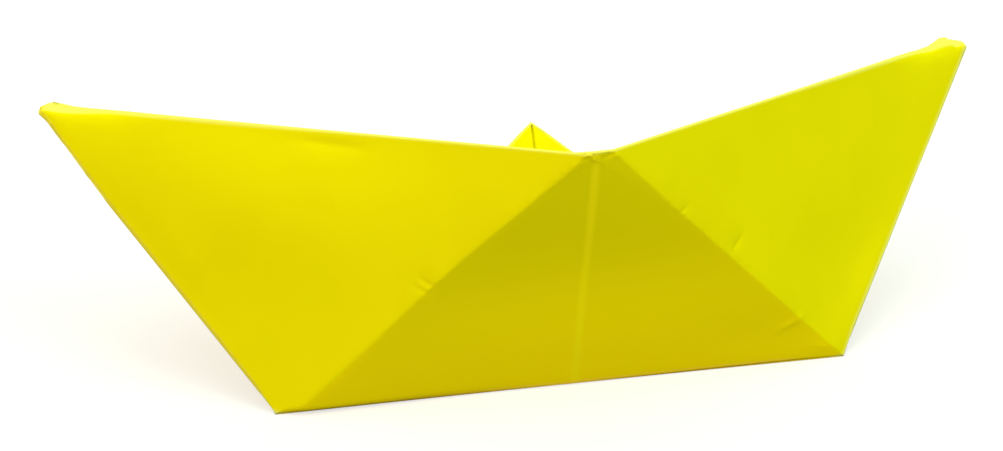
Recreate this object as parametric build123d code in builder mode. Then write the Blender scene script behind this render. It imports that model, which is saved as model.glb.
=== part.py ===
"""A paper sailboat folded from one rectangular sheet, resting on its back bottom panel.

The sheet is followed layer by layer, as it lies in the folded boat.  Every flat panel of the hull and
the sail carries a stack of plies, each as thick as the paper, with a little air between them.  Plies
meet in a mitre where the sheet creases and in a rolled edge where it doubles back on itself.
One half is modelled, at negative X, and mirrored.
"""

import os
from math import acos, atan2, cos, radians, sin, sqrt, tan

from build123d import *

# Sheet: a sheet of A4 is 210 wide, and its length leaves a brim of 43.5 under the folded corners
sheet_width = 210.0
brim_depth = 43.5
paper = 0.1
ply_gap = 0.1

# Folds
stem_length = 72.85  # bow edge, from the tip down to the corner of the keel
stem_reveal = 0.45  # strip of the back ply that shows past the front ply's fold at the bow
pocket_gap = 0.5  # air inside the sail, which is a pocket that opens at the keel
slit_width = 0.3  # gap between the two folded corners, down the front of the sail
tip_radius = 1.8  # each tip is blunted by the layers folded into it
centre_rise = 0.4  # how far the centre crease of the front wall stands proud

# Pose: degrees between each wall and the centre plane, and of the sail behind that plane
hull_lean = 51.3
sail_lean = 9.0

# Sizes that follow from the folds
ply_pitch = paper + ply_gap
hat_edge = sheet_width / sqrt(2)
half_keel = (hat_edge - stem_length) / sqrt(2)
wall_height = stem_length / sqrt(2)
half_gunwale = half_keel + wall_height
fold_radius = (ply_pitch + paper) / 2
stem_inset = stem_reveal + fold_radius
slit_inset = slit_width / 2 + fold_radius
spare = 3.0  # how far an outline runs past a crease before a mitre trims it


def swing(angle):
    """Unit direction square to the keel, turned up from the surface that the back panel lies on."""
    return Vector(0, cos(radians(angle)), sin(radians(angle)))


def rise_of_stem():
    """Angle of the bow edge above the keel line, in the centre plane, that keeps the sheet unstretched."""
    level = sqrt(2) * half_keel
    upright = sqrt(2) * wall_height * cos(radians(hull_lean))
    return acos((half_keel - wall_height) / sqrt(level**2 + upright**2)) - atan2(upright, level)


# Corners of the folded half, on the outer face of the sheet
sail_angle = hull_lean - sail_lean
keel_mid = Vector(0, 0, 0)
corner = Vector(-half_keel, 0, 0)
front_mid = swing(2 * hull_lean) * wall_height
back_mid = swing(0) * wall_height
apex = swing(sail_angle) * half_keel
stem_rise = rise_of_stem()
tip = corner + (Vector(-cos(stem_rise), 0, 0) + swing(hull_lean) * sin(stem_rise)) * stem_length


def panel_through(a, b, c):
    """Plane of a panel through three corners, with its normal towards the inside of the hull."""
    normal = (b - a).cross(c - a)
    if normal.dot(swing(hull_lean) * wall_height - a) < 0:
        normal = normal * -1
    return Plane(origin=a, x_dir=b - a, z_dir=normal)


# Panels, each with its normal on the side where its further plies lie
proud = swing(2 * hull_lean + 90) * centre_rise
sail_forward = swing(sail_angle + 90)
front_side = panel_through(tip, front_mid, corner)
back_side = panel_through(tip, back_mid, corner)
front_middle = panel_through(corner, keel_mid + proud, front_mid + proud)
back_middle = panel_through(corner, keel_mid, back_mid)
sail_back = Plane(origin=keel_mid, x_dir=(1, 0, 0), z_dir=sail_forward * -1)
sail_front = Plane(origin=keel_mid + sail_forward * pocket_gap, x_dir=(1, 0, 0), z_dir=sail_forward)
half_only = Plane(origin=keel_mid, z_dir=(-1, 0, 0))


def mitre(panel, other, step=0):
    """Plane that ends a panel at its crease with another, whose plies start so many plies lower."""
    away = other.z_dir - panel.z_dir
    reach = (panel.origin - other.origin).dot(other.z_dir) + step * ply_pitch
    return Plane(origin=panel.origin - away * (reach / away.dot(away)), z_dir=away)


def wall_axes(mid):
    """Unit directions on a side wall: along its gunwale from the tip, and down from the gunwale."""
    run = (mid - tip).normalized()
    down = (corner - tip) - run * (corner - tip).dot(run)
    return run, down.normalized()


def wall_outline(mid, depth, reach, inset):
    """Corners of a side wall's ply, inset from the stem, which runs at 45 degrees to the gunwale."""
    run, down = wall_axes(mid)
    start = inset * sqrt(2)
    places = ((start, 0), (reach, 0), (reach, depth), (start + depth, depth))
    return [tip + run * along + down * below for along, below in places]


def middle_outline(mid, lift, low, start):
    """Corners of a middle panel's ply, past its creases, from a height on it and a way off the centre."""
    up = mid.normalized()
    far = half_keel + spare
    places = ((start, low), (far, low), (far, wall_height + spare), (start, wall_height + spare))
    return [keel_mid + lift + up * height - Vector(1, 0, 0) * off for off, height in places]


def sail_outline(start):
    """Corners of a sail's ply: its sloping edge runs at 45 degrees from the keel's corner to the apex."""
    up = apex.normalized()
    places = ((start, -spare), (half_keel + spare, -spare), (start, half_keel - start))
    return [keel_mid + up * height - Vector(1, 0, 0) * off for off, height in places]


def ply(panel, layer, outline, trims):
    """One layer of paper on a panel, trimmed at the creases round it."""
    with BuildPart() as sheet:
        with BuildSketch(panel.offset(layer * ply_pitch)):
            flat = [panel.to_local_coords(place) for place in outline]
            with BuildLine():
                Polyline(*[(place.X, place.Y) for place in flat], close=True)
            make_face()
        extrude(amount=paper)
        for trim in trims:
            split(bisect_by=trim, keep=Keep.TOP)
    return sheet.part


def rolled_edge(start, end, outward, normal, low, high, trims):
    """Half round in which the sheet turns back, from one height above a panel to another."""
    radius = (high - low) / 2
    middle = start + normal * ((low + high) / 2)
    with BuildPart() as roll:
        with BuildSketch(Plane(origin=middle, x_dir=outward, z_dir=end - start)):
            with BuildLine():
                CenterArc((0, 0), radius, -90, 180)
                CenterArc((0, 0), radius - paper, -90, 180)
                Line((0, radius), (0, radius - paper))
                Line((0, -radius), (0, paper - radius))
            make_face()
        extrude(amount=(end - start).length)
        for trim in trims:
            split(bisect_by=trim, keep=Keep.TOP)
    return roll.part


def gunwale_roll(panel, mid, layer):
    """Fold along a gunwale, from the outer ply over to the brim."""
    run, down = wall_axes(mid)
    end = tip + run * (half_gunwale + spare)
    return rolled_edge(tip, end, down * -1, panel.z_dir, 0, layer * ply_pitch + paper, [half_only])


def slit_roll(panel, foot, up, height, trims):
    """Fold at the edge of a folded corner, beside the centre line."""
    start = foot - Vector(slit_inset, 0, 0) - up * spare
    end = foot - Vector(slit_inset, 0, 0) + up * height
    inward = up.cross(panel.z_dir)
    if inward.X < 0:
        inward = inward * -1
    return rolled_edge(start, end, inward, panel.z_dir, ply_pitch, 2 * ply_pitch + paper, trims)


def tip_blunt(panel, mid):
    """Block that rounds the tip of a wall off, between its gunwale and its stem."""
    run, down = wall_axes(mid)
    along = tip_radius / tan(radians(22.5))
    stem = (run + down).normalized()
    beyond = (down - run).normalized()
    centre = tip + run * along + down * tip_radius
    arc_start = tip + run * along
    arc_end = tip + stem * along
    arc_mid = centre + (tip - centre).normalized() * tip_radius
    far = [arc_end + beyond * spare, tip - stem * spare + beyond * spare]
    far += [tip - run * spare - down * spare, arc_start - down * spare]
    with BuildPart() as block:
        with BuildSketch(panel.offset(-spare)):
            flat = [panel.to_local_coords(place) for place in (arc_start, arc_mid, arc_end, *far)]
            points = [(place.X, place.Y) for place in flat]
            with BuildLine():
                ThreePointArc(*points[:3])
                Polyline(*points[2:], points[0])
            make_face()
        extrude(amount=2 * spare)
    return block.part


# Trims of each panel
front_side_trims = [mitre(front_side, front_middle), half_only]
stem_trims = [mitre(front_side, front_middle), half_only, mitre(front_side, back_side, 2)]
back_side_trims = [mitre(back_side, back_middle), half_only, mitre(back_side, front_side, -2)]
front_middle_trims = [mitre(front_middle, front_side), mitre(front_middle, sail_front), half_only]
back_middle_trims = [mitre(back_middle, back_side), mitre(back_middle, sail_back), half_only]
hull_inside = [front_side.offset(2 * ply_pitch), back_side]
sail_front_trims = [mitre(sail_front, front_middle), half_only, *hull_inside]
sail_back_trims = [mitre(sail_back, back_middle), half_only, *hull_inside]

# Outlines that several plies share
full_depth = wall_height + spare
full_reach = half_gunwale + spare
brim_low = wall_height - brim_depth

plies = []

# Front wall beside the bow: front leaf and flap doubled at the stem, flap's back, brim, tucked corner
for layer in (0, 1):
    outline = wall_outline(front_mid, full_depth, full_reach, stem_inset)
    plies.append(ply(front_side, layer, outline, front_side_trims))
plies.append(ply(front_side, 2, wall_outline(front_mid, full_depth, full_reach, -spare), stem_trims))
plies.append(ply(front_side, 3, wall_outline(front_mid, brim_depth, full_reach, -spare), stem_trims))
plies.append(ply(front_side, 4, wall_outline(front_mid, brim_depth, brim_depth, -spare), stem_trims))

# Front wall's middle: front leaf, both sides of the flap up to the slit, brim
plies.append(ply(front_middle, 0, middle_outline(front_mid, proud, -spare, -spare), front_middle_trims))
for layer in (1, 2):
    outline = middle_outline(front_mid, proud, -spare, slit_inset)
    plies.append(ply(front_middle, layer, outline, front_middle_trims))
plies.append(ply(front_middle, 3, middle_outline(front_mid, proud, brim_low, -spare), front_middle_trims))

# Sail: front leaf and both sides of the flap, and the back leaf behind the pocket
plies.append(ply(sail_front, 0, sail_outline(-spare), sail_front_trims))
for layer in (1, 2):
    plies.append(ply(sail_front, layer, sail_outline(slit_inset), sail_front_trims))
plies.append(ply(sail_back, 0, sail_outline(-spare), sail_back_trims))

# Back wall: back leaf, tucked corner, brim
plies.append(ply(back_side, 0, wall_outline(back_mid, full_depth, full_reach, -spare), back_side_trims))
plies.append(ply(back_side, 1, wall_outline(back_mid, brim_depth, brim_depth, -spare), back_side_trims))
plies.append(ply(back_side, 2, wall_outline(back_mid, brim_depth, full_reach, -spare), back_side_trims))
plies.append(ply(back_middle, 0, middle_outline(back_mid, keel_mid, -spare, -spare), back_middle_trims))
plies.append(ply(back_middle, 2, middle_outline(back_mid, keel_mid, brim_low, -spare), back_middle_trims))

# Gunwales, where the sheet turns over into the brim
plies.append(gunwale_roll(front_side, front_mid, 3))
plies.append(gunwale_roll(back_side, back_mid, 2))

# Stem, where the front leaf turns back into the flap
run, down = wall_axes(front_mid)
stem_start = tip + run * (stem_inset * sqrt(2))
stem_end = stem_start + (run + down) * full_depth
stem_out = (down - run).normalized()
double = ply_pitch + paper
plies.append(rolled_edge(stem_start, stem_end, stem_out, front_side.z_dir, 0, double, front_side_trims))

# Sail's sloping edge, where the back leaf wraps round the fold of the front leaf and the flap
edge_down = (corner - apex).normalized()
edge_out = (apex.normalized() - Vector(1, 0, 0)).normalized()
edge_start = apex - edge_down * spare
edge_end = corner + edge_down * spare
edge_trims = [half_only, *hull_inside, front_middle, back_middle]
sail_stack = pocket_gap + 2 * ply_pitch + paper
plies.append(rolled_edge(edge_start, edge_end, edge_out, sail_forward, -paper, sail_stack, edge_trims))
flap_start = edge_start + sail_forward * pocket_gap
flap_end = edge_end + sail_forward * pocket_gap
plies.append(rolled_edge(flap_start, flap_end, edge_out, sail_forward, 0, double, edge_trims))

# Slit, beside which the flap's two sides are joined
hull_up = front_mid.normalized()
sail_up = apex.normalized()
plies.append(slit_roll(front_middle, keel_mid + proud, hull_up, wall_height, front_middle_trims))
plies.append(slit_roll(sail_front, sail_front.origin, sail_up, half_keel - slit_inset, sail_front_trims))

with BuildPart() as half_boat:
    add(plies)
    for panel, mid in ((front_side, front_mid), (back_side, back_mid)):
        add(tip_blunt(panel, mid), mode=Mode.SUBTRACT)

# The origin is on the surface that the boat rests on, under the middle of its box
half_box = half_boat.part.bounding_box()
with BuildPart() as paper_boat:
    with Locations((0, -half_box.center().Y, 0)):
        add(half_boat.part)
    mirror(about=Plane.YZ)
paper_boat.part.label = "paper_boat"

os.makedirs("parts", exist_ok=True)
export_step(paper_boat.part, "parts/paper_boat.step")
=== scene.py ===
# %% [markdown]
# # A folded paper sailboat
# One sheet of yellow paper, folded by hand into the boat that every child learns to make. The boat
# rests tilted back on the middle panel of its back wall. The construction comes from the packed
# model, and this script gives it the look of real paper: soft folds, small dents, rolled edges and a
# fibrous, matte surface.

# %% Load the fixed frame
from math import acos, atan2, ceil, cos, hypot, pi, radians, sin, sqrt

import bmesh
import bpy
import numpy as np
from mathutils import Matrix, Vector
from mathutils.bvhtree import BVHTree
from mathutils.geometry import delaunay_2d_cdt


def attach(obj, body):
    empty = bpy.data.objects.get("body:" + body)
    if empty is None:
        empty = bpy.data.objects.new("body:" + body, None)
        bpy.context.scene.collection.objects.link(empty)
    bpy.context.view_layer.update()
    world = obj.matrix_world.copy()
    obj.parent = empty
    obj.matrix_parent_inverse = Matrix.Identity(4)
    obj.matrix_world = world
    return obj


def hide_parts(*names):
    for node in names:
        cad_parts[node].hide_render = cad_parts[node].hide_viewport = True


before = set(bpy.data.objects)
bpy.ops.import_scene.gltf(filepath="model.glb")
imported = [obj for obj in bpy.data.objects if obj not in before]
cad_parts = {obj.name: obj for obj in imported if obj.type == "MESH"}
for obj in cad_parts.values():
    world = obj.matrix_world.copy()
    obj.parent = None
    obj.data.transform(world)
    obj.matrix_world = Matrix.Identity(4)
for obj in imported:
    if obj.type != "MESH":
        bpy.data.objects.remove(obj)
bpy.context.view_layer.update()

mm = 0.001
scene = bpy.context.scene
scene.view_settings.view_transform = "Standard"
boat_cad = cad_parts["paper_boat"]

# %% [markdown]
# ## Where the folds lie
# A few sizes drive the whole boat: the width of the sheet, the length of the bow edge, the angle at
# which the walls open and the lean of the sail. From them follow the corners of the folded sheet,
# and from the corners the planes of its panels. Only the half at negative X is worked out, because
# the folded model is the same on both sides.

# %% Corners of the folded sheet
sheet_width = 210 * mm
stem_length = 72.85 * mm
hull_lean = radians(51.3)
sail_lean = radians(9.0)
centre_rise = 0.4 * mm
ply_pitch = 0.2 * mm
touching = 0.01 * mm

half_keel = (sheet_width / sqrt(2) - stem_length) / sqrt(2)
wall_height = stem_length / sqrt(2)
half_gunwale = half_keel + wall_height
cad_points = np.array([v.co for v in boat_cad.data.vertices])
on_floor = cad_points[:, 2] < touching
keel_y = cad_points[on_floor, 1].min()


def swing(angle):
    """Unit direction square to the keel, turned up from the floor."""
    return np.array((0.0, cos(angle), sin(angle)))


def rise_of_stem():
    """Angle of the bow edge above the keel line that keeps the sheet unstretched."""
    level = sqrt(2) * half_keel
    upright = sqrt(2) * wall_height * cos(hull_lean)
    return acos((half_keel - wall_height) / hypot(level, upright)) - atan2(upright, level)


across = np.array((1.0, 0.0, 0.0))
keel_mid = np.array((0.0, keel_y, 0.0))
corner = keel_mid - across * half_keel
front_mid = keel_mid + swing(2 * hull_lean) * wall_height
back_mid = keel_mid + swing(0) * wall_height
apex = keel_mid + swing(hull_lean - sail_lean) * half_keel
stem_rise = rise_of_stem()
tip = corner + (swing(hull_lean) * sin(stem_rise) - across * cos(stem_rise)) * stem_length
print("in mm: tip", tip / mm, "corner", corner / mm, "front", front_mid / mm, "apex", apex / mm)

# %% [markdown]
# ## Camera
# The photograph looks slightly down on the boat from close by, a little from the left. The focal
# length and the place of the camera come from fitting the boat's outline to the picture, which is
# 1003 by 451 pixels.

# %% Camera at the photograph's angle
picture_width = 1003
camera_azimuth = radians(-11.98)
camera_height = radians(25.62)
camera_distance = 333.6 * mm
focal_pixels = 1812.3
aim_right = -12.48 * mm
aim_up = 29.27 * mm

level_back = Vector((sin(camera_azimuth), -cos(camera_azimuth), 0))
camera_back = level_back * cos(camera_height) + Vector((0, 0, sin(camera_height)))
camera_right = Vector((cos(camera_azimuth), sin(camera_azimuth), 0))
camera_up = camera_back.cross(camera_right)
camera_data = bpy.data.cameras.new("camera")
camera_data.sensor_width = 36
camera_data.lens = focal_pixels / picture_width * camera_data.sensor_width
camera_data.clip_start = 0.01
camera = bpy.data.objects.new("camera", camera_data)
scene.collection.objects.link(camera)
aim = Vector(keel_mid) + camera_right * aim_right + camera_up * aim_up
camera.location = aim + camera_back * camera_distance
camera.rotation_euler = camera_back.to_track_quat("Z", "Y").to_euler()
scene.camera = camera
print("lens", round(camera_data.lens, 1), "mm, camera at", camera.location)

# %% [markdown]
# ## The two walls
# Each wall of the hull has a middle panel, which stands on the keel, and a side panel at each end. They
# meet at slanting folds. The wall keeps the directions of its panels, so that a place on the flat paper
# can be turned into a point in space and back: how far along the gunwale from the middle, how far
# below the gunwale, and how far behind the outer face.

# %% Planes and folds of a wall
def unit(vector):
    """The vector at length one."""
    return vector / np.linalg.norm(vector)


def facing_in(normal):
    """A panel's normal, turned towards the sail."""
    return unit(normal) if normal @ (apex - corner) > 0 else -unit(normal)


class Wall:
    """Half a wall of the hull: half its middle panel, and the side panel beyond the slanting fold."""

    def __init__(self, middle, proud):
        centre = keel_mid + proud
        self.middle = middle
        self.up = unit(middle - keel_mid)
        self.run = unit(tip - middle)
        self.down = unit(corner - middle - self.run * ((corner - middle) @ self.run))
        self.side_in = facing_in(np.cross(tip - corner, middle - corner))
        self.middle_in = facing_in(np.cross(centre - corner, self.up))
        fold = unit(np.cross(self.side_in, self.middle_in))
        self.fold = fold if fold[0] > 0 else -fold
        self.past_side = self.square_to_fold(tip)
        self.past_middle = -self.square_to_fold(centre)
        self.bend = self.past_side - self.past_middle

    def square_to_fold(self, point):
        """Direction from the fold to a point on one of the panels, square to the fold."""
        return unit(point - corner - self.fold * ((point - corner) @ self.fold))

    def place(self, along, below):
        """Point in space for a place on the wall. A way along that is positive is at the right."""
        flip = np.array((-1.0 if along > 0 else 1.0, 1.0, 1.0))
        off = abs(along)
        if off * wall_height < below * half_keel:
            return (keel_mid - across * off + self.up * (wall_height - below)) * flip
        return (self.middle + self.run * off + self.down * below) * flip

    def unfold(self, points):
        """Finds the places of points at negative X on the flat wall."""
        self.side_depth = (points - corner) @ self.side_in
        self.middle_depth = (points - corner) @ self.middle_in
        self.depth = np.minimum(self.side_depth, self.middle_depth)
        self.on_side = self.side_depth <= self.middle_depth
        side = self.on_side[:, None]
        self.along_way = np.where(side, self.run, -across)
        self.down_way = np.where(side, self.down, -self.up)
        self.flat_in = np.where(side, self.side_in, self.middle_in)
        self.along = ((points - self.middle) * self.along_way).sum(1)
        self.below = ((points - self.middle) * self.down_way).sum(1)
        self.from_fold = ((points - corner) * np.where(side, self.past_side, self.past_middle)).sum(1)
        self.from_stem = (half_gunwale - self.along - self.below) / sqrt(2)
        self.from_keel = wall_height - self.below


front = Wall(front_mid, swing(2 * hull_lean + pi / 2) * centre_rise)
back = Wall(back_mid, np.zeros(3))
print("front fold", front.fold, "back fold", back.fold)

# %% [markdown]
# ## Marks of the hands
# Handling leaves marks. The walls bow a little between their stiff edges, the gunwale leans in where
# fingers pulled it, and there are a few nicks beside the folds. Each mark is an oval hollow or ridge
# on the flat front wall. It is given by its place (along the gunwale from the middle, below the
# gunwale), its length, its width, its turn in degrees and its height, all in millimetres. Outward is
# positive. The marks come first, because the mesh has to be finer where they are small: a patch of
# close points covers each small mark, sized by the mark's own length and width.

# %% List the marks
front_marks = [
    ("hollow under the left gunwale", -46.5, 2.1, 6.0, 0.85, 2, -0.3),
    ("pinch at the left fold", -27.3, 24.6, 1.8, 0.5, 30, -0.22),
    ("second pinch at the left fold", -28.2, 26.0, 1.8, 0.5, 30, -0.16),
    ("upper nick at the right fold", 18.3, 14.0, 1.3, 0.45, -25, -0.20),
    ("lower nick at the right fold", 30.4, 23.1, 1.6, 0.5, -38, -0.26),
    ("small fold on the middle panel", 42.0, 42.2, 3.2, 0.7, -30, 0.22),
    ("ridge at the right corner", 48.8, 48.6, 2.2, 0.8, 12, 0.2),
    ("hollow left of the middle", -2.2, 0.9, 1.2, 0.5, -10, -0.18),
    ("pinch in the middle", -0.3, 0.8, 1.0, 0.35, 40, 0.32),
    ("hollow right of the middle", 2.7, 0.8, 1.0, 0.4, -15, -0.18),
    ("knuckle on the right fold", 4.4, 1.0, 0.7, 0.5, 0, 0.14),
    ("lean of the left gunwale", -70.0, -4.0, 40.0, 9.0, 4, -1.3),
    ("bow of the left side", -55.0, 15.0, 23.0, 15.0, 8, 1.6),
    ("hollow of the middle panel", 2.0, 27.0, 30.0, 14.0, 0, -1.2),
    ("hollow above the right corner", 38.0, 44.0, 12.0, 6.0, -5, -0.25),
    ("hollow of the right side", 57.0, 34.0, 14.0, 10.0, -15, -0.8),
    ("lean of the right gunwale", 90.0, -3.0, 18.0, 9.0, 0, -0.35),
]
small_mark = 1.3
patch_length = 1.2
patch_reach = 1.7
patch_step = 0.7

fine_patches = []
for name, along, below, length, width, turn, height in front_marks:
    if width < small_mark:
        c, s = cos(radians(turn)), sin(radians(turn))
        way = np.linspace(-patch_length, patch_length, 1 + 2 * round(length / width)) * length
        spots = [front.place((along + w * c) * mm, (below + w * s) * mm) for w in way]
        fine_patches.append((np.array(spots), patch_reach * width * mm, patch_step * width * mm))
        print("small mark:", name, height, "mm")
print("marks:", len(front_marks), "of which small:", len(fine_patches))

# %% [markdown]
# ## Where the hands put the folds
# The slanting folds were never pressed in: they appear when the boat is pulled open. On the front
# wall they don't meet in one point at the gunwale. The middle panel is cut off there by a short
# straight edge, because the paper won't bend into a sharp point. How far each fold has moved from its
# drawn place is a smooth function over the wall, nought along the stem and at the keel. Rows of points
# beside the moved folds let the mesh bend there.

# %% Place the folds of the front wall
left_fold_shift = 1.6 * mm
right_fold_shift = 3.2 * mm
left_corner_shift = -2.2 * mm
corner_reach = 50 * mm
top_width = 3 * mm
stem_fade = 6 * mm
keel_fade = 1.5 * mm
shares_of_fold = np.arange(0.01, 0.97, 0.03)
rows_beside_fold = (-1.2, -0.6, -0.25, 0.0, 0.25, 0.6, 1.2)


def ease(value):
    """Smooth step from nought to one."""
    value = np.clip(value, 0, 1)
    return value * value * (3 - 2 * value)


def fold_shift(along, below, right):
    """How far the fold has moved onto the side panel. Right is one on the right half, or nought."""
    height = np.clip(1 - below / wall_height, 0, 1)
    reach = half_keel * (1 - height) + top_width
    aside = np.clip(along / reach, 0, 1) * (2 * right - 1)
    mean = (right_fold_shift + left_fold_shift) / 2
    half = (right_fold_shift - left_fold_shift) / 2
    from_corner = np.hypot(along - half_keel, below - wall_height)
    from_stem = (half_gunwale - along - below) / sqrt(2)
    low = 1 - ease(from_corner / corner_reach)
    low = low * ease(from_stem / stem_fade) * ease((wall_height - below) / keel_fade) * (1 - right)
    return height * (mean + half * aside) + left_corner_shift * low


fold_rows = []
for side in (-1, 1):
    flip = np.array((-side, 1, 1))
    for share in shares_of_fold:
        shift = fold_shift(half_keel * share, wall_height * share, max(side, 0))
        base = corner + front.fold * half_keel / front.fold[0] * (1 - share)
        for aside in rows_beside_fold:
            past = shift + aside * mm
            way = front.past_side if past > 0 else front.past_middle
            fold_rows.append((base + way * past) * flip)
fold_rows = np.array(fold_rows)
print("points along the moved folds:", len(fold_rows))

# %% [markdown]
# ## A fine mesh from the flat facets
# The solid has big flat facets, because its panels are flat. Paper is never quite flat, so each facet
# is filled with a fine, even mesh first. Edges are cut into short stretches, so that neighbouring
# facets still share their vertices, and a Delaunay triangulation fills the inside. Long edges are cut
# closer near their ends, where several folds meet and the light shows every unevenness. Plies that
# another ply covers get a coarser mesh.

# %% Fill the facets
open_fill = {"step": 2.0 * mm, "at_marks": 1.0, "rows": (0.08 * mm, 0.4 * mm, 0.9 * mm, 1.6 * mm)}
covered_fill = {"step": 2.8 * mm, "at_marks": 1.7, "rows": (0.4 * mm, 1.2 * mm)}
end_cuts = np.array((0.08, 0.4, 0.9, 1.5, 2.1, 2.7, 3.4, 4.1, 4.9, 5.8)) * mm
long_edge = 30 * mm
roll_step = 4.0 * mm
flat_area = 20 * mm**2
same_stack = 1.2 * mm
clear_of_rows = 0.5
clear_of_added = 0.3
clear_of_outline = 0.15 * mm
row_kept = 0.9
sharpest_turn = 0.3
spots_on_face = 12
ways_to_middle = (0.15, 0.5)
off_face = 0.02 * mm
ply_in_front = 0.5 * mm
slanting = (0.36, 0.48, 0.8)
weld_gap = 2e-7
flat_angle = 0.003
least_gap = 1e-7


def split_long_edges(mesh, open_faces):
    """Cuts long edges into stretches, short near the ends, and leaves the faces beside them whole."""
    for edge in list(mesh.edges):
        length = edge.calc_length()
        beside = [f for f in edge.link_faces if f.calc_area() > flat_area]
        step = roll_step
        if beside:
            in_view = any(f.index in open_faces for f in beside)
            step = open_fill["step"] if in_view else covered_fill["step"]
        cuts = np.linspace(0, length, ceil(length / step) + 1)[1:-1]
        if beside and length > long_edge:
            inner = cuts[(cuts > end_cuts[-1]) & (cuts < length - end_cuts[-1])]
            cuts = np.concatenate([end_cuts, inner, length - end_cuts[::-1]])
        start, done = edge.verts[0], 0.0
        for cut in cuts:
            near, start = bmesh.utils.edge_split(edge, start, (cut - done) / (length - done))
            edge = next(e for e in start.link_edges if e is not near)
            done = cut


def distance_to_outline(points, outline):
    """Distance of each point to a closed outline, and whether the point is inside it."""
    ends = np.roll(outline, -1, axis=0)
    along = ends - outline
    offset = points[:, None] - outline[None]
    share = np.clip((offset * along).sum(2) / (along**2).sum(1), 0, 1)
    gap = np.linalg.norm(offset - share[..., None] * along, axis=2).min(1)
    low, high = outline[:, 1], ends[:, 1]
    height = points[:, 1:]
    rise = np.where(high == low, 1, high - low)
    crossing = outline[:, 0] + (height - low) * along[:, 0] / rise
    hits = ((low > height) != (high > height)) & (points[:, :1] < crossing)
    return gap, hits.sum(1) % 2 == 1


def even_field(low, high, step):
    """Points of an even triangular grid over a rectangle."""
    columns, rows = np.meshgrid(
        np.arange(low[0], high[0], step), np.arange(low[1], high[1], step * sqrt(3) / 2)
    )
    columns[1::2] += step / 2
    return np.stack([columns.ravel(), rows.ravel()], 1)


def rows_along_edges(outline, edge_rows):
    """Rows of points at set distances inside an outline."""
    along = np.roll(outline, -1, axis=0) - outline
    along = along / np.linalg.norm(along, axis=1)[:, None]
    normal = np.stack([-along[:, 1], along[:, 0]], 1)
    before = np.roll(normal, 1, axis=0)
    turn = 1 + (normal * before).sum(1)
    inward = (normal + before) / np.maximum(turn, sharpest_turn)[:, None]
    kept = []
    for row in edge_rows:
        points = outline + inward * row
        gap, inside = distance_to_outline(points, outline)
        kept.append(points[inside & (gap > row_kept * row)])
    return np.concatenate(kept)


def patch_at_mark(spots, reach, step):
    """Points of a dense grid, in discs along a small mark."""
    patch = even_field(spots.min(0) - reach, spots.max(0) + reach, step)
    distance = np.linalg.norm(patch[:, None] - spots, axis=2)
    return patch[(distance < reach).any(1)]


def inner_points(outline, added, fill):
    """Points inside an outline: an even field, rows along the edges, and points added at marks."""
    step, edge_rows = fill["step"], fill["rows"]
    field = even_field(outline.min(0), outline.max(0), step)
    gap, inside = distance_to_outline(field, outline)
    field = field[inside & (gap > edge_rows[-1] + clear_of_rows * step)]
    kept = [rows_along_edges(outline, edge_rows)]
    for points in added:
        gap, inside = distance_to_outline(points, outline)
        points = points[inside & (gap > clear_of_outline)]
        if len(points):
            apart = np.linalg.norm(field[:, None] - points, axis=2).min(1)
            field = field[apart > clear_of_added * step]
            kept.append(points)
    return np.concatenate(kept + [field])


def is_open(face, solid):
    """Whether some of a face can be seen, with no other ply close in front of it."""
    for corner_vert in list(face.verts)[:: max(1, len(face.verts) // spots_on_face)]:
        for share in ways_to_middle:
            spot = corner_vert.co.lerp(face.calc_center_median(), share) + face.normal * off_face
            if solid.ray_cast(spot, face.normal, ply_in_front)[0] is None:
                return True
    return False


def fill_face(mesh, face, fill):
    """Replaces a flat face by small triangles that keep its outline."""
    corners = [loop.vert for loop in face.loops]
    if len(corners) == 3:
        return
    normal = np.array(face.normal)
    origin = np.array(corners[0].co)
    side = unit(np.cross(normal, slanting))
    axes = np.stack([side, np.cross(normal, side)], 1)
    outline = (np.array([v.co for v in corners]) - origin) @ axes
    points = outline
    if face.calc_area() > flat_area:
        added = []
        rows = fold_rows[np.abs((fold_rows - origin) @ normal) < same_stack]
        if len(rows):
            added.append((rows - origin) @ axes)
        for spots, reach, step in fine_patches:
            if np.abs((spots - origin) @ normal).min() < same_stack:
                added.append(patch_at_mark((spots - origin) @ axes, reach, step * fill["at_marks"]))
        points = np.concatenate([outline, inner_points(outline, added, fill)])
    in_mm = [Vector(p) for p in points / mm]
    made = delaunay_2d_cdt(in_mm, [], [list(range(len(corners)))], 1, least_gap)
    verts = []
    for place, sources in zip(made[0], made[3]):
        if sources and sources[0] < len(corners):
            verts.append(corners[sources[0]])
        else:
            verts.append(mesh.verts.new(origin + axes @ np.array(place) * mm))
    mesh.faces.remove(face)
    for triangle in made[2]:
        ring = [verts[k] for k in triangle]
        if mesh.faces.get(ring) is None:
            mesh.faces.new(ring)


fine = bmesh.new()
fine.from_mesh(boat_cad.data)
bmesh.ops.remove_doubles(fine, verts=fine.verts, dist=weld_gap)
bmesh.ops.dissolve_limit(fine, angle_limit=flat_angle, verts=fine.verts, edges=fine.edges)
solid = BVHTree.FromBMesh(fine)
fine.normal_update()
open_faces = {face.index for face in fine.faces if is_open(face, solid)}
split_long_edges(fine, open_faces)
for face in list(fine.faces):
    fill_face(fine, face, open_fill if face.index in open_faces else covered_fill)
open_edges = sum(not edge.is_manifold for edge in fine.edges)
print("fine mesh:", len(fine.verts), "vertices,", len(fine.faces), "faces,", open_edges, "open edges")
sheet_mesh = bpy.data.meshes.new("folded_sheet")
fine.to_mesh(sheet_mesh)
fine.free()

# %% [markdown]
# ## Back to the flat sheet
# Every point of a wall gets its place on the unfolded wall. All plies of a wall share these places, so
# a dent that is written down on the flat wall goes through all of them, and no ply cuts through its
# neighbour.

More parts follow.
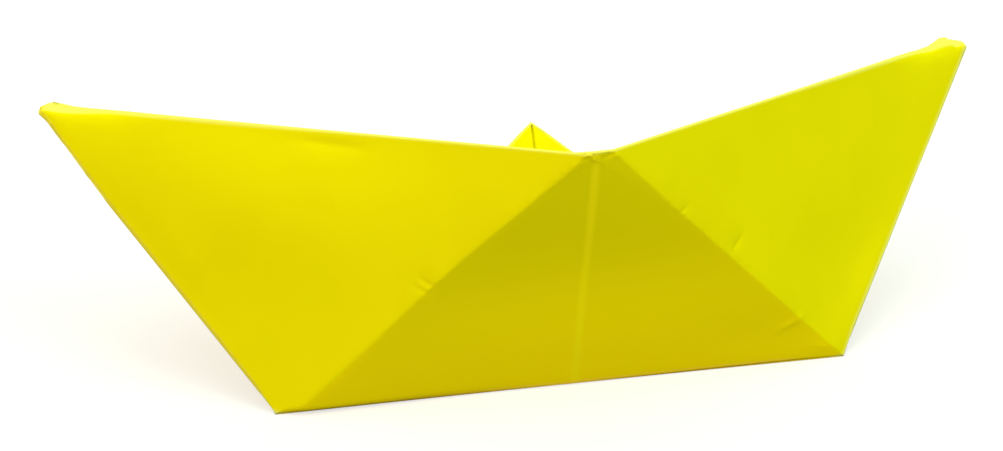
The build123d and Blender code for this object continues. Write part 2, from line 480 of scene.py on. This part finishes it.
# %% Find each point's wall
flat_places = np.array([v.co for v in sheet_mesh.vertices])
mirrored = np.where(flat_places[:, 0] > 0, 1.0, -1.0)
on_right = (mirrored > 0).astype(float)
on_left = 1 - on_right
points = flat_places.copy()
points[:, 0] *= -mirrored
front.unfold(points)
back.unfold(points)
front_plies = 4.9 * ply_pitch
back_plies = 3.9 * ply_pitch
is_front = (front.depth < front_plies) & (front.depth - 2 * ply_pitch <= back.depth)
is_back = ~is_front & (back.depth < back_plies)
is_sail = ~is_front & ~is_back
print("points on front wall", is_front.sum(), "back wall", is_back.sum(), "sail", is_sail.sum())

# %% [markdown]
# ## One sheet, one object
# The boat is a single sheet, so a single object stands for the solid, and it stays with the body that
# the solid belongs to.

# %% Build the object that stands for the solid
sheet = bpy.data.objects.new("folded_sheet", sheet_mesh)
scene.collection.objects.link(sheet)
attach(sheet, "root")
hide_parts("paper_boat")
print(sheet.name, "stands for the solid")

# %% [markdown]
# ## Soft folds
# A fold that was never pressed is a narrow bend. The side panels stay where they are, and the middle
# panel is laid on the plane that meets them at the moved folds. Near a fold the two planes pass into
# each other along a hyperbola, which is flat far away and round at the fold. The bend is sharper at
# the keel, where the paper was pressed.

# %% Bend the walls at their folds
front_bend = 0.28 * mm
back_bend = 0.3 * mm
pressed_reach = 4 * mm
pressed_bend = 0.1
least_turn = 0.25 * mm


def bend_walls(wall, shift, radius):
    """Steps that take the points of a wall from its flat panels to softly bent ones."""
    radius = radius * ease(wall.from_keel / pressed_reach + pressed_bend)
    gap = wall.from_fold - shift
    bent = 0.5 * (gap - np.hypot(gap, radius))
    height = np.clip(1 - wall.below / wall_height, 0, 1)
    share = np.clip(wall.along / (half_keel * (1 - height) + top_width), 0, 1)
    bend = np.stack([wall.bend[0] * share, *np.outer(wall.bend[1:], np.ones(len(points)))], 1)
    steps = np.minimum(wall.from_fold, 0)[:, None] * wall.bend - bent[:, None] * bend
    steps[:, 0] += np.minimum(wall.from_fold, 0) * wall.bend[0] * (share - 1)
    turn = gap / np.hypot(gap, np.maximum(radius, least_turn))
    mean = (wall.side_in + wall.middle_in) / 2
    half = (wall.side_in - wall.middle_in) / 2
    wall.now_in = mean + turn[:, None] * half
    wall.fold_gap = gap
    return steps + wall.depth[:, None] * (wall.now_in - wall.flat_in)


front_shift = fold_shift(front.along, front.below, on_right)
moved = np.zeros_like(points)
moved[is_front] = bend_walls(front, front_shift, front_bend)[is_front]
moved[is_back] = bend_walls(back, np.zeros(len(points)), back_bend)[is_back]
print("folds move points by up to", round(np.abs(moved).max() / mm, 2), "mm")

# %% [markdown]
# ## Press in the marks
# Every mark pushes the wall in or out. The push fades at the keel and at the stems, because there the
# plies hold each other, and its direction turns gently across a fold. A small pinch that stands out
# lifts the outer ply alone.

# %% Bow the walls and press in the marks
held_reach = 6 * mm
outer_ply = front.depth < 0.75 * ply_pitch


def oval(x, y, length, width, turn):
    """One in the middle of a turned oval, and nought far outside it."""
    c, s = cos(radians(turn)), sin(radians(turn))
    long_way = (x * c + y * s) / length
    short_way = (-x * s + y * c) / width
    return np.exp(-(long_way**2) - short_way**2)


def held_edges(wall, reach):
    """Nought at the keel and the stem, where the plies hold each other, and one further in."""
    return ease(wall.from_keel / reach) * ease(wall.from_stem / reach)


signed_mm = front.along * mirrored / mm
below_mm = front.below / mm
marks = np.zeros(len(points))
for name, along, below, length, width, turn, height in front_marks:
    mark = height * mm * oval(signed_mm - along, below_mm - below, length, width, turn)
    pinched_up = width < small_mark and height > 0
    marks += mark * (outer_ply if pinched_up else 1)
push = (marks * held_edges(front, held_reach))[:, None] * -front.now_in
moved[is_front] += push[is_front]
print("marks push the front wall by up to", round(np.abs(marks[is_front]).max() / mm, 2), "mm")

# %% [markdown]
# ## Tips and stems
# Many plies come together at the tips, so the front gunwale can't stay upright there: its edge leans
# in. At the right tip the thick stack pushes the edge up into a small hump, and at the left tip the
# covered plies have come up behind the front one. Along the stems the front ply has slipped back a
# little, so that a strip of the ply behind it shows, and at the keel's corners it covers the fold.

# %% Lean in the gunwale at the tips and slip the front ply back
lean_angle = radians(48)
lean_starts, lean_full = 72 * mm, 98 * mm
lean_width, lean_widens, lean_round = 0.5 * mm, 1.6 * mm, 0.25 * mm
rim_depth = 3 * mm
hump_height = 1.35 * mm
hump_starts, hump_full = 91 * mm, 98 * mm
hump_falls, hump_ends = 97.6 * mm, 99.8 * mm
covered_later = 0.5 * mm
lift_height, lift_reach = 0.85 * mm, 9 * mm
lift_falls, lift_ends = 100.6 * mm, 102.6 * mm
lift_way = 0.8 * front.run - front.down
slip, slip_width = 0.4 * mm, 6 * mm
more_slip_reach = 7 * mm
no_slip_reach = 5 * mm
cover, cover_reach = 0.25 * mm, 8 * mm


def rise(value, start, end):
    """Smooth step from nought at one distance to one at another."""
    return ease((value - start) / (end - start))


def fade(distance, reach):
    """One at a place, and nought a reach away from it."""
    return 1 - ease(distance / reach)


near_tip = rise(front.along, lean_starts, lean_full)
past = lean_width + lean_widens * near_tip - front.below
past = 0.5 * (past + np.hypot(past, lean_round))
angle = lean_angle * near_tip
lean = (past * (1 - np.cos(angle)))[:, None] * front.down_way
lean += (past * np.sin(angle))[:, None] * front.side_in
moved[is_front] += lean[is_front]

top_plies = is_front & (front.depth < 1.6 * ply_pitch)
from_tip = np.linalg.norm(points - tip, axis=1)
at_rim = fade(front.below, rim_depth)
behind = np.where(top_plies, 0.0, covered_later)
hump = rise(front.along, hump_starts, hump_full) * (1 - rise(front.along - behind, hump_falls, hump_ends))
hump *= hump_height * at_rim * on_right
moved[is_front] -= hump[is_front, None] * front.down
lift = lift_height * fade(from_tip, lift_reach) * on_left * at_rim
lift *= 1 - rise(front.along, lift_falls, lift_ends)
lifted = ~is_sail & ~top_plies
moved[lifted] += lift[lifted, None] * lift_way

slip_here = slip * (1 + fade(from_tip, more_slip_reach)) * ease(front.from_keel / no_slip_reach)
back_off = -slip_here / sqrt(2) * fade(front.from_stem, slip_width)
slide = back_off[:, None] * (front.along_way + front.down_way)
moved[top_plies] += slide[top_plies]
covering = cover * fade(np.linalg.norm(points - corner, axis=1), cover_reach)
moved[top_plies] -= covering[top_plies, None] * front.fold
print("hump", round(hump.max() / mm, 2), "mm, lift", round(lift.max() / mm, 2), "mm")

# %% [markdown]
# ## A little out of true
# No folded boat is quite symmetrical. The hull is twisted by less than a degree, the top of the front
# wall and the sail stand a millimetre to the right, and the left half is drawn out a little further,
# most of all at its tip. The keel bows in between its corners by a fraction of a millimetre.

# %% Put the points in place
twist = radians(0.7)
top_shift = 1.3 * mm
sail_up = unit(apex - keel_mid)
sail_shift = across * 1.35 * mm - sail_up * 0.6 * mm
apex_blunt, blunt_reach = 0.5 * mm, 2 * mm
left_shift, left_eases, left_eased = 0.62 * mm, 78 * mm, 90 * mm
right_shift, right_starts, right_full = 0.12 * mm, 70 * mm, 84 * mm
keel_bow, bow_height, bow_depth = 0.3 * mm, 15 * mm, 20 * mm
tip_raise, raise_reach = 0.8 * mm, 26 * mm
tip_draw, draw_reach = 1.2 * mm, 6 * mm
crisp_angle = radians(62)

placed = points + moved
placed[:, 0] *= -mirrored
height = placed[:, 2] / front_mid[2]
placed[:, 1] -= twist * placed[:, 0] * (1 - ease(height))

top_share = (1 - front.below / wall_height) * (1 - front.along / half_gunwale)
placed[is_front, 0] += top_shift * np.clip(top_share, 0, 1)[is_front]

sail_height = np.clip((points - keel_mid) @ sail_up / half_keel, 0, 1.1)
placed[is_sail] += (sail_height**2)[is_sail, None] * sail_shift
blunt = apex_blunt * fade(np.linalg.norm(points - apex, axis=1), blunt_reach)
placed[is_sail] -= blunt[is_sail, None] * sail_up

out = -placed[:, 0]
placed[:, 0] -= left_shift * ease(out / half_keel) * (1 - 0.5 * rise(out, left_eases, left_eased))
placed[:, 0] += right_shift * rise(-out, right_starts, right_full)
bow = keel_bow * np.clip(1 - (placed[:, 0] / half_keel) ** 2, 0, 1) * fade(placed[:, 2], bow_height)
placed[:, 1] += bow * fade(placed[:, 1] - keel_y, bow_depth)
placed -= (tip_raise * fade(from_tip, raise_reach) * on_left)[:, None] * front.down
placed += (tip_draw * fade(from_tip, draw_reach) * on_left)[:, None] * front.run

placed[:, 2] = np.maximum(placed[:, 2], 0)
sheet_mesh.vertices.foreach_set("co", placed.astype(np.float32).ravel())
sheet_mesh.update()
sheet_mesh.shade_smooth()
sheet_mesh.set_sharp_from_angle(angle=crisp_angle)
print("highest point", round(placed[:, 2].max() / mm, 3), "mm")

# %% [markdown]
# ## Distances for the material
# Folding breaks the dyed fibres, so folded edges are paler than the flat paper. The mesh stores how far
# each point is from the nearest edge of each kind, in millimetres, and the material turns these
# distances into strips of worn colour and of painted light and shade. A distance changes evenly over a
# triangle, so the strips stay clean. The strip at the rim widens towards the tips, and the centre
# crease leans a little to the right.

# %% Store the distances on the mesh
far_off = 20.0
rim_strip = -0.2 * mm
rim_widens, rim_starts, rim_full = 0.3 * mm, 40 * mm, 70 * mm
tip_strip, strip_starts, strip_full = 1.4 * mm, 87 * mm, 102 * mm
sail_rim = 0.2
right_stem_wear = 0.5
crease_at_top, crease_leans, crease_reach = 0.25 * mm, 0.57 * mm, 25 * mm
wear_up, wear_along = 0.5, 0.15

kinds = ("rim_gap", "stem_gap", "wear_and_painted_light_gap", "keel_gap", "fold_gap", "centre_gap")
gaps = {kind: np.full(len(points), far_off) for kind in kinds}
crease_shift = crease_at_top + crease_leans * ease(front.below / crease_reach)
for wall, chosen in ((front, is_front), (back, is_back)):
    strip = rim_strip + rim_widens * rise(wall.along, rim_starts, rim_full)
    strip += tip_strip * rise(wall.along, strip_starts, strip_full) * (wall is front)
    from_stem = wall.from_stem * (1 - right_stem_wear * on_right)
    from_centre = np.abs(wall.along * mirrored - crease_shift * (wall is front))
    gaps["rim_gap"][chosen] = ((wall.below - strip) / mm)[chosen]
    gaps["stem_gap"][chosen] = (from_stem / mm)[chosen]
    gaps["centre_gap"][chosen] = (from_centre / mm)[chosen]
# Pale patch at the keel's corners: worn fibres, painted lighter over the shade of the lower plies
corner_wear_and_painted_light = (wear_up * front.from_keel + wear_along * np.abs(front.along - half_keel)) / mm
gaps["wear_and_painted_light_gap"] = np.where(is_front, np.minimum(gaps["stem_gap"], corner_wear_and_painted_light), gaps["stem_gap"])
gaps["keel_gap"][is_front] = (front.from_keel / mm)[is_front]
gaps["fold_gap"][is_front] = (front.fold_gap / mm)[is_front]
sail_edge = (half_keel + points[:, 0] - (points - keel_mid) @ sail_up) / sqrt(2)
gaps["rim_gap"][is_sail] = (sail_edge / mm + sail_rim)[is_sail]
for kind in kinds:
    layer = sheet_mesh.attributes.new(kind, "FLOAT", "POINT")
    layer.data.foreach_set("value", gaps[kind].astype(np.float32))
print("stored", kinds)

# %% [markdown]
# ## Yellow paper
# Copier paper dyed right through: matte, with a faint cloudiness from the pulp and fine fibres. Rolled
# edges are worn pale and carry a painted highlight. The stems and the keel's corners are worn pale
# and painted lighter still, over their shade. The centre crease is painted lighter, as a highlight on
# its low ridge. At the keel an orange strip is painted bounce light from the floor, and a brown line
# is painted shade where two plies part. The middle panel of the front wall has painted bounce light
# low down, more golden, and painted shade higher up. A fine bump breaks the light as the fibres do.
# The strips are placed by the stored distances, in millimetres.

# %% Paper
paper = bpy.data.materials.new("yellow_paper")
paper.use_nodes = True
nodes = paper.node_tree.nodes
links = paper.node_tree.links
shader = nodes["Principled BSDF"]
shader.inputs["Roughness"].default_value = 0.85
shader.inputs["Specular IOR Level"].default_value = 0.01


def mix_colour(first, second, factor):
    """Mix of two colours, each fixed or from another node."""
    mix = nodes.new("ShaderNodeMix")
    mix.data_type = "RGBA"
    for socket, value in ((mix.inputs[6], first), (mix.inputs[7], second)):
        if isinstance(value, tuple):
            socket.default_value = value
        else:
            links.new(value, socket)
    links.new(factor, mix.inputs[0])
    return mix.outputs[2]


def distance_to(name):
    """Socket with a distance that is stored on the mesh."""
    node = nodes.new("ShaderNodeAttribute")
    node.attribute_name = name
    return node.outputs["Fac"]


def passage(value, start, end, low, high):
    """Smooth passage from one value to another between two distances."""
    node = nodes.new("ShaderNodeMapRange")
    node.interpolation_type = "SMOOTHSTEP"
    links.new(value, node.inputs["Value"])
    settings = ("From Min", start), ("From Max", end), ("To Min", low), ("To Max", high)
    for socket, amount in settings:
        node.inputs[socket].default_value = amount
    return node.outputs["Result"]


def product(first, second):
    """Product of two values from other nodes."""
    node = nodes.new("ShaderNodeMath")
    node.operation = "MULTIPLY"
    links.new(first, node.inputs[0])
    links.new(second, node.inputs[1])
    return node.outputs[0]


def cloud(size, detail, stretch):
    """Soft noise in the object's own coordinates, with spots of a size in metres."""
    place = nodes.new("ShaderNodeTexCoord")
    scale = nodes.new("ShaderNodeMapping")
    scale.inputs["Scale"].default_value = stretch
    noise = nodes.new("ShaderNodeTexNoise")
    noise.inputs["Scale"].default_value = 1 / size
    noise.inputs["Detail"].default_value = detail
    links.new(place.outputs["Object"], scale.inputs["Vector"])
    links.new(scale.outputs["Vector"], noise.inputs["Vector"])
    return noise.outputs["Fac"]


yellow = (0.91, 0.845, 0.0006, 1)
clouded = (0.895, 0.83, 0.0006, 1)
# Middle panel: painted bounce light from the floor low down, painted shade higher up
painted_floor_bounce = (0.985, 0.845, 0.0006, 1)
shaded = (0.86, 0.80, 0.0006, 1)
# Painted highlight along the centre crease
painted_crease_highlight = (1.0, 0.905, 0.004, 1)
# Pale rim: worn fibres with a painted highlight on the rolled edge
pale = (1.0, 0.98, 0.13, 1)
# Stems and keel corners: worn pale, and painted lighter over their shade
pale_wear_and_painted_light = (1.0, 1.0, 0.2, 1)
# Keel: orange strip of painted bounce light from the floor, brown line of painted shade in the gap
painted_bounce_orange = (1.0, 0.78, 0.04, 1)
painted_gap_shade = (0.84, 0.6, 0.01, 1)
cloud_size = 14 * mm
fibre_size = 0.35 * mm
fibre_height = 0.05 * mm

clouds = passage(cloud(cloud_size, 3, (1, 1, 1)), 0.42, 0.62, 0.0, 1.0)
colour = mix_colour(yellow, clouded, clouds)
keel = distance_to("keel_gap")
on_middle = passage(distance_to("fold_gap"), -0.6, 0.2, 1.0, 0.0)
# Painted bounce light near the keel of the middle panel, passing into painted shade higher up
painted_bounce_and_shade = mix_colour(painted_floor_bounce, shaded, passage(keel, 4.0, 46.0, 0.0, 1.0))
colour = mix_colour(colour, painted_bounce_and_shade, on_middle)
# Painted highlight along the centre crease, a little right of the middle
centre = passage(distance_to("centre_gap"), 0.2, 1.2, 0.9, 0.0)
colour = mix_colour(colour, painted_crease_highlight, centre)
# Pale rim: wear plus a painted highlight where the rolled edge would catch the light
rim = passage(distance_to("rim_gap"), -0.1, 0.55, 1.0, 0.0)
colour = mix_colour(colour, pale, rim)
# Stems and keel corners: wear plus painted light that lifts their shade
stem = passage(distance_to("wear_and_painted_light_gap"), 0.15, 0.8, 0.85, 0.0)
colour = mix_colour(colour, pale_wear_and_painted_light, stem)
# Orange strip of painted bounce light along the keel, and a brown line of painted shade where plies part
strip = passage(keel, 0.9, 1.3, 0.8, 0.0)
line = product(passage(keel, 0.4, 0.48, 0.0, 0.8), passage(keel, 0.55, 0.75, 1.0, 0.0))
off_corner = passage(distance_to("stem_gap"), 2.0, 6.0, 0.0, 1.0)
colour = mix_colour(colour, painted_bounce_orange, product(strip, off_corner))
colour = mix_colour(colour, painted_gap_shade, product(line, off_corner))
links.new(colour, shader.inputs["Base Color"])
fibre = nodes.new("ShaderNodeBump")
fibre.inputs["Strength"].default_value = 0.12
fibre.inputs["Distance"].default_value = fibre_height
links.new(cloud(fibre_size, 4, (1, 1, 0.5)), fibre.inputs["Height"])
links.new(fibre.outputs["Normal"], shader.inputs["Normal"])
sheet_mesh.materials.clear()
sheet_mesh.materials.append(paper)
print("paper:", len(nodes), "nodes")

# %% [markdown]
# ## Light
# A soft box above, one to each side and a weaker one behind, as in a small product studio. The left
# one is warmer, which is why the left side of the boat looks more golden than the right side. The one
# behind keeps the back of the boat as yellow as the front. Other light than the lamps' is very weak.

# %% Light the boat
lamp_aim = Vector((0, 0, 30 * mm))
sky_level = 0.02


def soft_box(name, place, size, strength, tint):
    """A large square lamp that faces the boat."""
    lamp = bpy.data.lights.new(name, "AREA")
    lamp.shape = "SQUARE"
    lamp.size = size
    lamp.energy = strength * pi * size**2
    lamp.color = tint
    holder = bpy.data.objects.new(name, lamp)
    scene.collection.objects.link(holder)
    holder.location = place
    toward = Vector(place) - lamp_aim
    holder.rotation_euler = toward.to_track_quat("Z", "Y").to_euler()


def seen_directly(tree):
    """One for rays from the camera, and for those that mirror or pass through something."""
    path = tree.nodes.new("ShaderNodeLightPath")
    total = path.outputs["Is Camera Ray"]
    for name in ("Is Glossy Ray", "Is Transmission Ray"):
        node = tree.nodes.new("ShaderNodeMath")
        node.operation = "MAXIMUM"
        tree.links.new(total, node.inputs[0])
        tree.links.new(path.outputs[name], node.inputs[1])
        total = node.outputs[0]
    return total


soft_box("top_light", (0.0, 0.0, 0.9), 1.0, 2.1, (0.8, 1, 0.9))
soft_box("left_light", (-0.8, -0.6, 0.7), 0.8, 3.95, (1, 0.75, 0.5))
soft_box("right_light", (0.8, -0.6, 0.7), 0.8, 3.12, (0.945, 1, 0.86))
soft_box("back_light", (0.0, 0.9, 0.6), 0.8, 2.2, (1, 0.82, 0.6))
world = bpy.data.worlds.new("studio")
scene.world = world
world.use_nodes = True
sky = world.node_tree.nodes["Background"]
sky.inputs["Color"].default_value = (1, 1, 1, 1)
sky_strength = world.node_tree.nodes.new("ShaderNodeMapRange")
sky_strength.inputs["To Min"].default_value = sky_level
world.node_tree.links.new(seen_directly(world.node_tree), sky_strength.inputs["Value"])
world.node_tree.links.new(sky_strength.outputs["Result"], sky.inputs["Strength"])

# %% [markdown]
# ## Floor
# A plain floor. It throws back a little less than half of the light, so that the middle panel, which
# faces down, stays darker than the side panels. Seen directly it glows up to white.

# %% Lay the floor
floor_size = 3.0
floor_grey = 0.45
floor_glow = 0.62
half = floor_size / 2
floor_mesh = bpy.data.meshes.new("floor")
floor_mesh.from_pydata(
    [(-half, -half, 0), (half, -half, 0), (half, half, 0), (-half, half, 0)], [], [(0, 1, 2, 3)]
)
floor = bpy.data.objects.new("floor", floor_mesh)
scene.collection.objects.link(floor)
floor_paint = bpy.data.materials.new("pale_floor")
floor_paint.use_nodes = True
tree = floor_paint.node_tree
matte = tree.nodes["Principled BSDF"]
matte.inputs["Base Color"].default_value = (floor_grey, floor_grey, floor_grey, 1)
matte.inputs["Roughness"].default_value = 0.9
matte.inputs["Specular IOR Level"].default_value = 0.0
glow = tree.nodes.new("ShaderNodeEmission")
glow_strength = tree.nodes.new("ShaderNodeMapRange")
glow_strength.inputs["To Max"].default_value = floor_glow
both = tree.nodes.new("ShaderNodeAddShader")
tree.links.new(seen_directly(tree), glow_strength.inputs["Value"])
tree.links.new(glow_strength.outputs["Result"], glow.inputs["Strength"])
tree.links.new(matte.outputs[0], both.inputs[0])
tree.links.new(glow.outputs[0], both.inputs[1])
tree.links.new(both.outputs[0], tree.nodes["Material Output"].inputs["Surface"])
floor_mesh.materials.append(floor_paint)
print("floor:", floor_size, "m wide")
